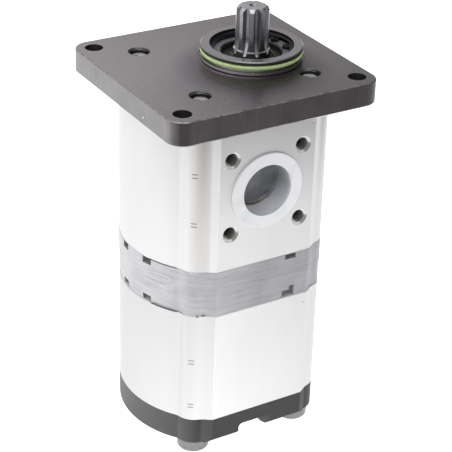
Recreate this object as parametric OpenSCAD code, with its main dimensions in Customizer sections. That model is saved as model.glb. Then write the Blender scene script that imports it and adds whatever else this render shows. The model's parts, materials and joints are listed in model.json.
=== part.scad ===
// Tandem external gear pump: two gear sections on one drive line, bolted up behind a
// rectangular mounting plate that centres on a round pilot.
// The origin is where the shaft axis meets the mounting face. Z points up along the
// shaft, and the inlet port faces -Y.

/* [Mounting plate] */
// Width of the plate along X
plate_w = 112.6; // [110:0.2:120]
// Depth of the plate along Y
plate_d = 107; // [104:0.5:116]
// Thickness of the plate
plate_t = 12.3; // [11:0.1:16]
// Radius of the plate's corners
plate_corner_r = 8.5; // [6:0.5:9]
// Spacing of the corner holes along X
corner_hole_x = 94.8; // [92:0.2:97]
// Spacing of the corner holes along Y
corner_hole_y = 88.6; // [86:0.2:91]
// Diameter of the corner holes
corner_hole_d = 9; // [8:0.5:10]

/* [Pilot and shaft seal] */
// Diameter of the locating pilot
pilot_d = 50; // [50:0.5:52]
// Height of the pilot above the mounting face
pilot_h = 7; // [6.5:0.1:9]
// Section of the pilot's O-ring
pilot_ring_d = 2.56; // [2.4:0.02:2.6]
// Diameter of the shaft seal
seal_d = 40; // [38:0.2:40]
// Height of the shaft seal
seal_h = 8; // [7:0.5:9]

/* [Drive shaft] */
// Tip diameter of the splined end
spline_d = 16.2; // [15.6:0.1:16.6]
// Height of the shaft end above the mounting face
spline_top = 26.3; // [24:0.1:32]
// Number of spline teeth
spline_teeth = 9; // [6:1:12]
// Diameter of the shaft in its seal and bushes
journal_d = 18; // [17.6:0.2:18]

/* [Gears] */
// Distance between the two gear axes
centre_dist = 31.32; // [31:0.02:31.6]
// Number of teeth on each gear
gear_teeth = 12; // [10:1:14]
// Pressure angle at the pitch circle in degrees
press_angle = 27; // [25:0.5:29]
// Tip diameter of the gears
gear_tip_d = 36.6; // [36:0.1:36.8]
// Width of the front pair of gears
front_gear_w = 32; // [24:1:36]
// Width of the rear pair of gears
rear_gear_w = 20; // [14:1:28]

/* [Bodies] */
// Radius of the rounded ends of the bodies
end_r = 50.6; // [50:0.1:52]
// Distance from the centre to each port face
port_face_y = 43.2; // [42.5:0.1:44]
// Radius of the four corner bosses
boss_r = 9.9; // [9.5:0.1:12]
// Spacing of the through bolts along X and Y
bolt_pitch = 60; // [58:0.5:61]
// Length of the front body
front_len = 76; // [70:1:84]
// Thickness of the plate between the bodies
middle_len = 24.6; // [22:0.2:30]
// Length of the rear body
rear_len = 61; // [54:0.2:70]
// Thickness of the rear cover
cover_len = 14.5; // [13:0.1:16]

/* [Ports] */
// Height of the inlet port's axis
inlet_z = -49.5; // [-54:0.5:-46]
// Bore of the inlet port
inlet_d = 28; // [26:0.5:28]
// Spacing of the inlet port's threaded holes
inlet_pitch = 38.9; // [38:0.1:40]
// Thread size of the inlet port's holes
inlet_thread_d = 8; // [7:0.5:8]
// Bore of the front outlet port
front_outlet_d = 18; // [14:0.5:18]
// Spacing of the front outlet port's threaded holes
front_outlet_pitch = 28.3; // [28:0.1:30]
// Bore of the rear outlet port
rear_outlet_d = 15; // [12:0.5:15]
// Spacing of the rear outlet port's threaded holes
rear_outlet_pitch = 24.7; // [24.5:0.1:27]
// Thread size of the outlet ports' holes
outlet_thread_d = 6; // [5:0.5:6]

/* [Through bolts] */
// Thread size of the through bolts
bolt_d = 10; // [8:0.5:10]
// Diameter of the bolt heads
bolt_head_d = 16.4; // [15:0.2:17]
// Height of the bolt heads
bolt_head_h = 7.3; // [6:0.1:10]
// Depth of the bolt ends below the mounting face
bolt_end_depth = 1; // [0.5:0.5:4]

/* [Hidden] */
$fn = 96;

// Sides that a cut runs past a surface
over = 1;
// Play between pieces that turn or slide on each other, and between still ones
play = 0.03;
ease = 0.05;

// Heights of the joints between the parts of the housing
front_top = -plate_t;
middle_top = front_top - front_len;
rear_top = middle_top - middle_len;
cover_top = rear_top - rear_len;
cover_low = cover_top - cover_len;
front_mid = front_top - front_len/2;
rear_mid = rear_top - rear_len/2;

// The housing is centred between the two gear axes
body_x = -centre_dist/2;
bolt_half = bolt_pitch/2;
bolt_clearance = 0.3;
rear_body_edge = 0.45;

// Chamfers of the mounting plate's lower and upper edges, and of its tapped holes
plate_low_edge = 0.8;
plate_top_edge = 0.5;
tapped_hole_edge = 0.5;

// Gear geometry
pitch_r = centre_dist/2;
base_r = pitch_r*cos(press_angle);
tip_r = gear_tip_d/2;
root_r = centre_dist - tip_r - 0.5;
chamber_r = tip_r + ease;
block_r = chamber_r - ease;
backlash = 0.14;
flank_steps = 6;
gear_end_play = 0.05;
journal_r = journal_d/2;
bush_r = journal_r + 1.5;
leak_hole_r = 3;
front_block_len = (front_len - front_gear_w)/2;
rear_block_len = (rear_len - rear_gear_w)/2;

// Suction gallery that links the inlet to both pairs of gears
gallery_r = 7;
gallery_y = -14.5;

// Seals between the parts of the housing
body_seal_r = 23.2;
body_seal_w = 2.2;
body_seal_t = 1.8;

// Pressure seals on the backs of the bearing blocks
pressure_seal_r = [13.4, 15.3];
backup_ring_r = [12.2, 13.35];
pressure_seal_t = 1.6;
pressure_seal_open = -5;
pressure_seal_bar = 1.1;

// Dowels that line up the parts of the housing
dowel_r = 3;
dowel_x = 45.4;
dowel_half = 6;
dowel_edge = 0.5;
dowel_end_play = 0.3;

// Bearing block reliefs beside the mesh of the gears
relief_size = [7, 5, 2.4];
relief_y = 6;

// Splines: each gap is root_half wide to either side at its floor and opens at a steady slope
spline_r = spline_d/2;
spline_depth = 2.1;
spline_start = 5.15;
spline_chamfer = [1.7, 1.4];
spline_phase = -4.3;
root_half = 0.62;
flank_slope = 0.62;
shoulder_h = 4.9;
cutter_r = 11;
cutter_z = 10.6;
coupling_spline_r = 7.2;
coupling_spline_depth = 1.25;
coupling_play = 0.15;
coupling_r = 10.4;
coupling_bore_r = 11.2;
coupling_gap = 1.2;
coupling_edge = 0.8;
coupling_reach = 10.6;

// Shaft seal seat in the pilot
seal_r = seal_d/2;
seal_top = 3.2;
seal_low = seal_top - seal_h;
mouth_r = seal_r + 0.6;
seat_chamfer = 0.7;
passage_r = journal_r + 0.6;
circlip_t = 1.6;
circlip_groove_r = seal_r + 1.25;
circlip_gap_at = 0.3;
circlip_lug_turn = 18;

// Lips, web and rim of the shaft seal, and the seat of its garter spring
lip_back = 0.5;
lip_waist = 0.9;
dust_lip_z = [1.4, 1];
waist_z = -0.6;
main_lip_z = -2.4;
spring_seat_r = [10.6, 11.9];
spring_seat_z = [-3.6, -2.3];
spring_r = 0.6;
web_r = 12.2;
web_z = [0.3, -1.4];
rim_r = [14.7, 17.6];
rim_edge = 0.6;

// Pilot O-ring groove and the relief round the pilot's foot
pilot_r = pilot_d/2;
ring_groove_z = [1.5, 5.15];
ring_groove_r = pilot_r - 2.6;
ring_z = 3.78;
ring_proud = 0.13;
foot_relief = [1, 0.4];
pilot_edge = 0.5;

// Ports and their caps
inlet_cap_depth = 12.5;
inlet_brim_r = 19.5;
front_outlet_brim_r = 14;
rear_outlet_brim_r = 12;
outlet_cap_depth = 9;
brim_t = 1;
cap_wall = 0.7;
thread_depth = 13;
thread_edge = 0.4;
inlet_throat_r = 9.5;
inlet_throat_end = 12;
outlet_step = 2;
outlet_throat_end = 6;
cap_room = 1.5;

// Pockets cast into the edges of the middle plate
pocket_depth = 3;
plate_step = 0.15;
lip_h = 1.5;
lip_step = 0.45;

// Notch and rounded pad under the rear cover
notch_h = 6.6;
notch_x = [-26.4, -10];
notch_fillet = 2.4;
notch_reach = 14;
pad_r = 6;

// Chamfers at the cover's underside: round the ends and bosses, and along the flat sides
cover_edge = 0.4;
cover_flat_edge = 2.2;

// Colours of the finished pieces
aluminium = "gainsboro";
castings = "dimgray";
steel = "lightslategray";
rubber = [0.1, 0.1, 0.11];

// Basic shapes

// Cylinder on Z between two heights, in either order
module post(r, z_a, z_b) {
    translate([0, 0, min(z_a, z_b)]) cylinder(r = r, h = abs(z_b - z_a));
}

module tube(r_out, r_in, z_a, z_b) {
    difference() {
        post(r_out, z_a, z_b);
        post(r_in, min(z_a, z_b) - over, max(z_a, z_b) + over);
    }
}

module revolve(points) {
    rotate_extrude() polygon(points);
}

// Disc standing on z = 0 whose lower and upper rims are chamfered
module bevelled_disc(r, h, low = 0, high = 0) {
    revolve(concat(
        [[0, 0]],
        low > 0 ? [[r - low, 0], [r, low]] : [[r, 0]],
        high > 0 ? [[r, h - high], [r - high, h]] : [[r, h]],
        [[0, h]]
    ));
}

// Cross-section of a bar w wide and h high with chamfered long edges, on its lower middle
module bevelled_section(w, h, low = 0, high = 0) {
    polygon(concat(
        low > 0 ? [[-w/2, low], [-w/2 + low, 0], [w/2 - low, 0], [w/2, low]] : [[-w/2, 0], [w/2, 0]],
        high > 0 ? [[w/2, h - high], [w/2 - high, h], [-w/2 + high, h], [-w/2, h - high]]
                 : [[w/2, h], [-w/2, h]]
    ));
}

module bar_along_x(len, w, h, low = 0, high = 0) {
    rotate([90, 0, 90]) linear_extrude(len, center = true) bevelled_section(w, h, low, high);
}

// Rectangular plate with round corners and chamfered edges
module bevelled_plate(w, d, h, r, low, high) {
    bar_along_x(w - 2*r, d, h, low, high);
    rotate(90) bar_along_x(d - 2*r, w, h, low, high);
    for (sx = [-1, 1], sy = [-1, 1])
        translate([sx*(w/2 - r), sy*(d/2 - r), 0]) bevelled_disc(r, h, low, high);
}

// Places that repeat

module at_gears() {
    for (x = [0, -centre_dist]) translate([x, 0, 0]) children();
}

module at_corners(half_x, half_y) {
    for (sx = [-1, 1], sy = [-1, 1]) translate([body_x + sx*half_x, sy*half_y, 0]) children();
}

module at_bolts() {
    at_corners(bolt_half, bolt_half) children();
}

module at_dowels() {
    for (side = [-1, 1]) translate([body_x + side*dowel_x, 0, 0]) children();
}

// Turns a shape made along Z so that it leaves the housing at a port face
module at_port(z, side) {
    translate([body_x, side*port_face_y, z]) rotate([-side*90, 0, 0]) children();
}

// Housing features

// Block with the outline of the bodies: two round ends, four corner bosses and flat sides;
// low is the chamfer under the ends and bosses, flat_low the one under the flat sides
module section_block(z_low, z_high, grow = 0, low = 0, high = 0, flat_low = 0) {
    h = z_high - z_low;
    translate([body_x, 0, z_low]) intersection() {
        union() {
            bevelled_disc(end_r + grow, h, low, high);
            for (sx = [-1, 1], sy = [-1, 1])
                translate([sx*bolt_half, sy*bolt_half, 0]) bevelled_disc(boss_r + grow, h, low, high);
        }
        bar_along_x(2*end_r + 10, 2*(port_face_y + grow), h, flat_low, high);
    }
}

// Two crossing bores that the gears and blocks run in, and the suction gallery beside them
module gear_chamber(z_low, z_high) {
    at_gears() post(chamber_r, z_low - over, z_high + over);
    translate([body_x, gallery_y, 0]) post(gallery_r, z_low - over, z_high + over);
}

module bolt_holes(z_low, z_high) {
    at_bolts() post(bolt_d/2 + bolt_clearance, z_low - over, z_high + over);
}

module dowel_holes(z) {
    at_dowels() post(dowel_r + ease, z - dowel_half - dowel_end_play, z + dowel_half + dowel_end_play);
}

// Flat ring that runs round both gear bores, w wide on a line of radius r
module racetrack(r, w, z_a, z_b) {
    translate([0, 0, min(z_a, z_b)]) linear_extrude(abs(z_b - z_a)) difference() {
        racetrack_area(r + w/2);
        racetrack_area(r - w/2);
    }
}

module racetrack_area(r) {
    at_gears() circle(r);
    translate([body_x, 0]) square([centre_dist, 2*r], center = true);
}

module body_seal_groove(z_face, inward) {
    racetrack(body_seal_r, body_seal_w + 0.2, z_face - inward*over, z_face + inward*(body_seal_t));
}

module body_seal(z_face, inward) {
    racetrack(body_seal_r, body_seal_w, z_face, z_face + inward*(body_seal_t));
}

// Threaded holes on the corners of a square round a port
module port_threads(z, side, pitch, thread_d) {
    at_port(z, side) for (sx = [-1, 1], sy = [-1, 1]) translate([sx*pitch/2, sy*pitch/2, 0]) {
        post(thread_d/2, -thread_depth, over);
        countersink(thread_d/2, thread_edge);
    }
}

// Chamfer at the mouth of a hole of radius r, whose rim lies at z = 0
module countersink(r, size) {
    revolve([[0, -size], [r, -size], [r + size, 0], [r + size, over], [0, over]]);
}

// Port bore that takes the cap, then narrows to a throat that opens into the gear chamber
module port_bore(z, side, r, depth, throat_r, throat_y) {
    at_port(z, side) revolve([
        [0, over], [r, over], [r, -depth], [throat_r, -depth - (r - throat_r)],
        [throat_r, throat_y - port_face_y], [0, throat_y - port_face_y]
    ]);
}

module outlet_bore(z, r) {
    port_bore(z, 1, r, outlet_cap_depth + cap_room, r - outlet_step, outlet_throat_end);
}

// Housing pieces

module mounting_plate() {
    color(castings) difference() {
        union() {
            translate([body_x, 0, -plate_t])
                bevelled_plate(plate_w, plate_d, plate_t, plate_corner_r, plate_low_edge, plate_top_edge);
            bevelled_disc(pilot_r, pilot_h, 0, pilot_edge);
        }
        shaft_seal_seat();
        tube(pilot_r + over, ring_groove_r, ring_groove_z[0], ring_groove_z[1]);
        tube(pilot_r + foot_relief[0], pilot_r, -foot_relief[1], over/2);
        at_corners(corner_hole_x/2, corner_hole_y/2) post(corner_hole_d/2, -plate_t - over, over);
        at_bolts() {
            post(bolt_d/2 + play, -plate_t - over, over);
            countersink(bolt_d/2, tapped_hole_edge);
        }
        dowel_holes(front_top);
        leak_channel();
    }
}

// Stepped bore through the pilot: circlip groove, seal seat and shaft passage
module shaft_seal_seat() {
    revolve([
        [0, pilot_h + over], [mouth_r, pilot_h + over], [mouth_r, seal_top + circlip_t + seat_chamfer],
        [seal_r + ease, seal_top + circlip_t], [seal_r + ease, seal_low - ease],
        [passage_r, seal_low - ease], [passage_r, -plate_t - over], [0, -plate_t - over]
    ]);
    post(circlip_groove_r + ease, seal_top, seal_top + circlip_t + ease);
}

// Channel that leads oil from the seal to the hollow driven shaft
module leak_channel() {
    channel_w = 5;
    channel_h = 2.5;
    translate([-centre_dist, -channel_w/2, -plate_t - over])
        cube([centre_dist, channel_w, channel_h + over]);
}

module front_body() {
    color(aluminium) difference() {
        section_block(middle_top, front_top);
        gear_chamber(middle_top, front_top);
        bolt_holes(middle_top, front_top);
        dowel_holes(front_top);
        dowel_holes(middle_top);
        body_seal_groove(front_top, -1);
        body_seal_groove(middle_top, 1);
        port_bore(inlet_z, -1, inlet_d/2, inlet_cap_depth + cap_room, inlet_throat_r, inlet_throat_end);
        port_threads(inlet_z, -1, inlet_pitch, inlet_thread_d);
        outlet_bore(front_mid, front_outlet_d/2);
        port_threads(front_mid, 1, front_outlet_pitch, outlet_thread_d);
    }
}

module rear_body() {
    color(aluminium) difference() {
        section_block(cover_top, rear_top, 0, 0, rear_body_edge);
        gear_chamber(cover_top, rear_top);
        bolt_holes(cover_top, rear_top);
        dowel_holes(rear_top);
        dowel_holes(cover_top);
        body_seal_groove(rear_top, -1);
        body_seal_groove(cover_top, 1);
        outlet_bore(rear_mid, rear_outlet_d/2);
        port_threads(rear_mid, 1, rear_outlet_pitch, outlet_thread_d);
    }
}

// Cast plate between the bodies, in two slightly stepped halves with a thin inset lip
module middle_plate() {
    split_z = (middle_top + rear_top)/2;
    color("silver") difference() {
        union() {
            section_block(split_z, middle_top, plate_step);
            section_block(rear_top + lip_h, split_z, -plate_step);
            section_block(rear_top, rear_top + lip_h, -lip_step);
        }
        bolt_holes(rear_top, middle_top);
        dowel_holes(middle_top);
        dowel_holes(rear_top);
        post(coupling_bore_r, rear_top - over, middle_top + over);
        translate([-centre_dist, 0, 0]) post(leak_hole_r, rear_top - over, middle_top + over);
        translate([body_x, gallery_y, 0]) post(gallery_r - 1, rear_top - over, middle_top + over);
        edge_pockets();
        translate([2*body_x, 0, 0]) rotate(180) edge_pockets();
    }
}

// Small cored pockets along the split edges of the middle plate, on one side
module edge_pockets() {
    port_edge = -port_face_y - over;
    pocket_w = pocket_depth + over;
    pocket_h = 3.5;
    pocket_len = 5.8;
    end_pocket_turns = [-164.3, 174.5];
    translate([-3.2, port_edge, middle_top - 3]) cube([6.2, pocket_w, 3 + over]);
    translate([-3.9, port_edge, rear_top - over]) cube([6.9, pocket_w, 4 + over]);
    translate([0, port_edge, rear_top - over]) cube([3, pocket_w, 6 + over]);
    for (turn = end_pocket_turns)
        translate([body_x, 0, 0]) rotate(turn) translate([end_r - pocket_depth, -pocket_len/2, 0]) {
            translate([0, 0, middle_top - pocket_h]) cube([pocket_w, pocket_len, pocket_h + over]);
            translate([0, 0, rear_top - over]) cube([pocket_w, pocket_len, pocket_h + over]);
        }
}

module rear_cover() {
    color(castings) difference() {
        section_block(cover_low, cover_top, 0, cover_edge, 0, cover_flat_edge);
        bolt_holes(cover_low, cover_top);
        dowel_holes(cover_top);
        cover_notch();
        mirror([0, 1, 0]) cover_notch();
    }
}

// Opening between the feet of the cover at one port side, with a rounded pad at its end
module cover_notch() {
    difference() {
        union() {
            translate([notch_x[0] + notch_fillet, -port_face_y - over, cover_low - over])
                cube([notch_x[1] + pad_r - notch_x[0] - notch_fillet, notch_reach + over, notch_h + over]);
            translate([notch_x[0], -port_face_y - over, cover_low - over])
                cube([2*notch_fillet, notch_reach + over, notch_h + over - notch_fillet]);
            translate([notch_x[0] + notch_fillet, 0, cover_low + notch_h - notch_fillet])
                rotate([90, 0, 0]) post(notch_fillet, port_face_y - notch_reach, port_face_y + over);
        }
        translate([notch_x[1] + pad_r, pad_r - port_face_y, 0])
            post(pad_r, cover_low - 2*over, cover_low + notch_h + over);
        translate([notch_x[1], pad_r - port_face_y, cover_low - 2*over])
            cube([2*pad_r, 2*notch_reach, notch_h + 4*over]);
    }
}

// Seals and rings

module pilot_o_ring() {
    color([0.72, 0.8, 0.6]) rotate_extrude()
        translate([pilot_r + ring_proud - pilot_ring_d/2, ring_z]) circle(pilot_ring_d/2, $fn = 48);
}

// Internal retaining ring with two eyed lugs at its gap
module seal_circlip() {
    lug_at = seal_r - 2.4;
    lug_r = 2.1;
    eye_r = 0.9;
    gap_half = circlip_lug_turn - 4;
    reach = circlip_groove_r + over;
    color([0.12, 0.13, 0.16]) translate([0, 0, seal_top + ease]) difference() {
        union() {
            difference() {
                tube(circlip_groove_r, seal_r - 1.6, 0, circlip_t - ease);
                rotate(circlip_gap_at) translate([0, 0, -over]) linear_extrude(circlip_t + 2*over)
                    polygon([[0, 0], [reach, reach*tan(gap_half)], [reach, -reach*tan(gap_half)]]);
            }
            for (side = [-1, 1]) rotate(circlip_gap_at + side*circlip_lug_turn)
                translate([lug_at, 0, 0]) post(lug_r, 0, circlip_t - ease);
        }
        for (side = [-1, 1]) rotate(circlip_gap_at + side*circlip_lug_turn)
            translate([lug_at, 0, 0]) post(eye_r, -over, circlip_t + over);
    }
}

// Lip seal: cased rim, open front, dust lip above and sprung main lip below
module shaft_seal() {
    lip_r = journal_r + play;
    color(rubber) revolve([
        [seal_r, seal_top], [rim_r[0] + rim_edge, seal_top], [rim_r[0], seal_top - rim_edge],
        [rim_r[0], web_z[0]], [web_r, web_z[0]],
        [lip_r + lip_back, dust_lip_z[0]], [lip_r, dust_lip_z[1]], [lip_r + lip_waist, waist_z],
        [lip_r, main_lip_z], [lip_r + lip_back, spring_seat_z[0]],
        [spring_seat_r[0], spring_seat_z[0]], [spring_seat_r[0], spring_seat_z[1]],
        [spring_seat_r[1], spring_seat_z[1]], [spring_seat_r[1], web_z[1]],
        [rim_r[1], web_z[1]], [rim_r[1], seal_low], [seal_r, seal_low]
    ]);
}

module shaft_seal_spring() {
    at = [(spring_seat_r[0] + spring_seat_r[1])/2, (spring_seat_z[0] + spring_seat_z[1])/2];
    color(steel) rotate_extrude() translate(at) circle(spring_r, $fn = 32);
}

module front_body_seals() {
    color(rubber) {
        body_seal(front_top, -1);
        body_seal(middle_top, 1);
    }
}

module rear_body_seals() {
    color(rubber) {
        body_seal(rear_top, -1);
        body_seal(cover_top, 1);
    }
}

// Outline shared by a pressure seal and its backup ring: two arcs joined between the shafts
module balance_area(r_in, r_out) {
    difference() {
        union() {
            difference() {
                at_gears() circle(r_out);
                at_gears() circle(r_in);
            }
            translate([body_x, 0]) square([2*(pitch_r - r_in) - 0.4, 2*pressure_seal_bar], center = true);
        }
        translate([body_x, pressure_seal_open - 25]) square([100, 50], center = true);
    }
}

// Shape on the back of a block, reaching t into it from the face at z; inward is its direction
module balance_ring(z_face, inward, r_in, r_out, t) {
    translate([0, 0, min(z_face, z_face + inward*t)]) linear_extrude(t) balance_area(r_in, r_out);
}

module pressure_seal_pair(z_high, z_low) {
    color([0.2, 0.2, 0.22]) {
        balance_ring(z_high, -1, pressure_seal_r[0], pressure_seal_r[1], pressure_seal_t);
        balance_ring(z_low, 1, pressure_seal_r[0], pressure_seal_r[1], pressure_seal_t);
    }
}

module backup_ring_pair(z_high, z_low) {
    color("ivory") for (face = [[z_high, -1], [z_low, 1]])
        intersection() {
            balance_ring(face[0], face[1], backup_ring_r[0], backup_ring_r[1], pressure_seal_t);
            at_gears() post(backup_ring_r[1], z_low - over, z_high + over);
        }
}

// Bearing blocks and bushes

// Pressure-balanced block; back is the face away from the gears, and inward points to them
module bearing_block(back, inward, len) {
    front = back + inward*len;
    color("darkgray") difference() {
        at_gears() post(block_r, back, front);
        at_gears() post(bush_r + 0.02, min(back, front) - over, max(back, front) + over);
        balance_ring(back - inward*over, inward, backup_ring_r[0] - 0.1, pressure_seal_r[1] + 0.1,
                     pressure_seal_t + over + 0.1);
        for (side = [-1, 1]) translate([body_x, side*relief_y, front]) cube(relief_size, center = true);
    }
}

module bushes(z_list, len) {
    color("darkgoldenrod") for (z = z_list) at_gears()
        tube(bush_r, journal_r + play, z + ease, z + len - ease);
}

// Gears and shafts

function involute(a) = tan(a) - a*PI/180;
function polar(r, a) = [r*cos(a), r*sin(a)];
half_tooth = 90/gear_teeth - backlash/pitch_r*90/PI;
// Half the angle that a tooth takes at radius r
function tooth_half_angle(r) =
    half_tooth - (involute(acos(base_r/r)) - involute(press_angle))*180/PI;
function tooth_points(at) = concat(
    [polar(root_r, at - tooth_half_angle(base_r))],
    [for (i = [0:flank_steps]) let (r = base_r + (tip_r - base_r)*i/flank_steps)
        polar(r, at - tooth_half_angle(r))],
    [for (i = [flank_steps:-1:0]) let (r = base_r + (tip_r - base_r)*i/flank_steps)
        polar(r, at + tooth_half_angle(r))],
    [polar(root_r, at + tooth_half_angle(base_r))]
);

module gear_rim(z_low, w, phase) {
    translate([0, 0, z_low + gear_end_play]) linear_extrude(w - 2*gear_end_play)
        polygon([for (i = [0:gear_teeth - 1], p = tooth_points(phase + i*360/gear_teeth)) p]);
}

// Cross-section of the space between two teeth, from the floor outwards
module spline_gap(depth) {
    top = depth + over;
    top_half = root_half + flank_slope*top;
    polygon([[0, -root_half], [top, -top_half], [top, top_half], [0, root_half]]);
}

module at_spline_gaps(floor_r) {
    for (i = [0:spline_teeth - 1])
        rotate((i + 0.5)*360/spline_teeth) translate([floor_r, 0, 0]) children();
}

module spline_gaps(r, depth, z_low, z_high) {
    translate([0, 0, z_low]) linear_extrude(z_high - z_low) at_spline_gaps(r - depth) spline_gap(depth);
}

// Round lower end of each gap, as the form cutter's disc leaves it
module spline_runouts(r, depth, z) {
    rim = depth + 2*over;
    rim_half = root_half + flank_slope*rim;
    at_spline_gaps(r - depth) translate([cutter_r, 0, z]) rotate([90, 0, 0]) revolve([
        [0, -rim_half], [cutter_r - rim, -rim_half], [cutter_r, -root_half],
        [cutter_r, root_half], [cutter_r - rim, rim_half], [0, rim_half]
    ]);
}

module shaft_end_bore(z) {
    translate([0, 0, z]) revolve([[0, over], [2.4, over], [1.4, -1], [1.4, -5], [0, -5.8]]);
}

module drive_gear_shaft() {
    gear_low = front_mid - front_gear_w/2;
    color(steel) difference() {
        union() {
            revolve([
                [0, spline_top], [spline_r - spline_chamfer[0], spline_top],
                [spline_r, spline_top - spline_chamfer[1]],
                [spline_r, spline_start], [journal_r, shoulder_h], [journal_r, middle_top + 1],
                [journal_r - 1, middle_top], [coupling_spline_r, middle_top],
                [coupling_spline_r, middle_top - coupling_reach + coupling_edge],
                [coupling_spline_r - coupling_edge, middle_top - coupling_reach],
                [0, middle_top - coupling_reach]
            ]);
            gear_rim(gear_low, front_gear_w, 0);
        }
        rotate(spline_phase) {
            spline_gaps(spline_r, spline_depth, cutter_z, spline_top + over);
            spline_runouts(spline_r, spline_depth, cutter_z);
        }
        coupling_gaps(middle_top - coupling_reach - over, middle_top - 1);
        shaft_end_bore(spline_top);
    }
}

// Sleeve with an inner spline that carries the drive from the front to the rear section
module drive_coupling() {
    color(steel) difference() {
        bevelled_sleeve();
        difference() {
            post(coupling_spline_r + play, rear_top, middle_top);
            translate([0, 0, rear_top - over]) linear_extrude(middle_len + 2*over)
                at_spline_gaps(coupling_spline_r - coupling_spline_depth + coupling_play) coupling_tooth();
        }
    }
}

module coupling_gaps(z_low, z_high) {
    spline_gaps(coupling_spline_r, coupling_spline_depth, z_low, z_high);
}

module bevelled_sleeve() {
    translate([0, 0, rear_top + coupling_gap])
        bevelled_disc(coupling_r, middle_len - 2*coupling_gap, coupling_edge, coupling_edge);
}

// Inner tooth that stands in a gap of the shaft splines with a little play
module coupling_tooth() {
    top = coupling_spline_depth + over;
    tip_half = root_half - coupling_play/2;
    foot_half = tip_half + flank_slope*top;
    polygon([[0, -tip_half], [top, -foot_half], [top, foot_half], [0, tip_half]]);
}

module rear_drive_gear() {
    gear_low = rear_mid - rear_gear_w/2;
    top = rear_top + coupling_reach;
    color(steel) difference() {
        union() {
            revolve([
                [0, top], [coupling_spline_r - coupling_edge, top], [coupling_spline_r, top - coupling_edge],
                [coupling_spline_r, rear_top], [journal_r - 1, rear_top], [journal_r, rear_top - 1],
                [journal_r, cover_top + 1.5], [journal_r - 1, cover_top + 0.5], [0, cover_top + 0.5]
            ]);
            gear_rim(gear_low, rear_gear_w, 0);
        }
        coupling_gaps(rear_top + 1, top + over);
    }
}

// Idler on its own hollow shaft, turned half a tooth so that it stands in mesh
module driven_gear(z_low, z_high, gear_w) {
    color(steel) translate([-centre_dist, 0, 0]) difference() {
        union() {
            translate([0, 0, z_low + 0.5]) bevelled_disc(journal_r, z_high - z_low - 1, 1, 1);
            gear_rim((z_low + z_high - gear_w)/2, gear_w, 180/gear_teeth);
        }
        post(leak_hole_r, z_low, z_high);
    }
}

// Fasteners

module dowel_pins() {
    color(steel) for (z = [front_top, middle_top, rear_top, cover_top])
        at_dowels() translate([0, 0, z - dowel_half])
            bevelled_disc(dowel_r, 2*dowel_half, dowel_edge, dowel_edge);
}

// Cap screws that run from under the rear cover into the tapped mounting plate
module through_bolts() {
    head_low = cover_low - bolt_head_h;
    rim = 1.8;
    shank_r = bolt_d/2;
    color("lightgray") at_bolts() {
        translate([0, 0, cover_low - over])
            bevelled_disc(shank_r, -bolt_end_depth - cover_low + over, 0, 1);
        rotate_extrude() union() {
            translate([0, head_low]) square([bolt_head_d/2 - rim, bolt_head_h]);
            translate([0, head_low + rim]) square([bolt_head_d/2, bolt_head_h - rim]);
            translate([bolt_head_d/2 - rim, head_low + rim]) circle(rim, $fn = 32);
        }
    }
}

// Press-in caps that close the ports for transport

module port_cap(z, side, bore_r, brim_r, depth) {
    cup_r = bore_r - ease;
    at_port(z, side) color([0.93, 0.94, 0.95]) revolve([
        [cup_r - cap_wall, brim_t], [brim_r - 0.3, brim_t], [brim_r, brim_t - 0.3], [brim_r, play],
        [cup_r, play], [cup_r, -depth + 1], [cup_r - 1, -depth], [0, -depth], [0, -depth + cap_wall],
        [cup_r - cap_wall - 1.4, -depth + cap_wall], [cup_r - cap_wall - 0.3, -depth + 2]
    ]);
}

module inlet_port_cap() {
    port_cap(inlet_z, -1, inlet_d/2, inlet_brim_r, inlet_cap_depth);
}

module front_outlet_cap() {
    port_cap(front_mid, 1, front_outlet_d/2, front_outlet_brim_r, outlet_cap_depth);
}

module rear_outlet_cap() {
    port_cap(rear_mid, 1, rear_outlet_d/2, rear_outlet_brim_r, outlet_cap_depth);
}

// One node for each named piece

mounting_plate();
pilot_o_ring();
seal_circlip();
shaft_seal();
shaft_seal_spring();
front_body();
middle_plate();
rear_body();
rear_cover();
front_body_seals();
rear_body_seals();
bearing_block(front_top, -1, front_block_len);  // front_bearing_block_upper
bearing_block(middle_top, 1, front_block_len);  // front_bearing_block_lower
bearing_block(rear_top, -1, rear_block_len);  // rear_bearing_block_upper
bearing_block(cover_top, 1, rear_block_len);  // rear_bearing_block_lower
bushes([middle_top, front_top - front_block_len], front_block_len);  // front_bushes
bushes([cover_top, rear_top - rear_block_len], rear_block_len);  // rear_bushes
pressure_seal_pair(front_top, middle_top);  // front_pressure_seals
backup_ring_pair(front_top, middle_top);  // front_backup_rings
pressure_seal_pair(rear_top, cover_top);  // rear_pressure_seals
backup_ring_pair(rear_top, cover_top);  // rear_backup_rings
dowel_pins();
through_bolts();
drive_gear_shaft();
drive_coupling();
rear_drive_gear();
driven_gear(middle_top, front_top, front_gear_w);  // front_driven_gear
driven_gear(cover_top, rear_top, rear_gear_w);  // rear_driven_gear
inlet_port_cap();
front_outlet_cap();
rear_outlet_cap();
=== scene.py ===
"""Looks of the tandem gear pump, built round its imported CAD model.

Lengths in this script are millimetres until a mesh is made, in the CAD model's own frame:
the origin is where the shaft axis meets the mounting face, Z runs up along the shaft,
and the inlet port faces -Y. Angles are degrees unless a matrix or a rotation takes them.
"""

import json
import math

import bpy
import bmesh
from mathutils import Matrix, Vector


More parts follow.
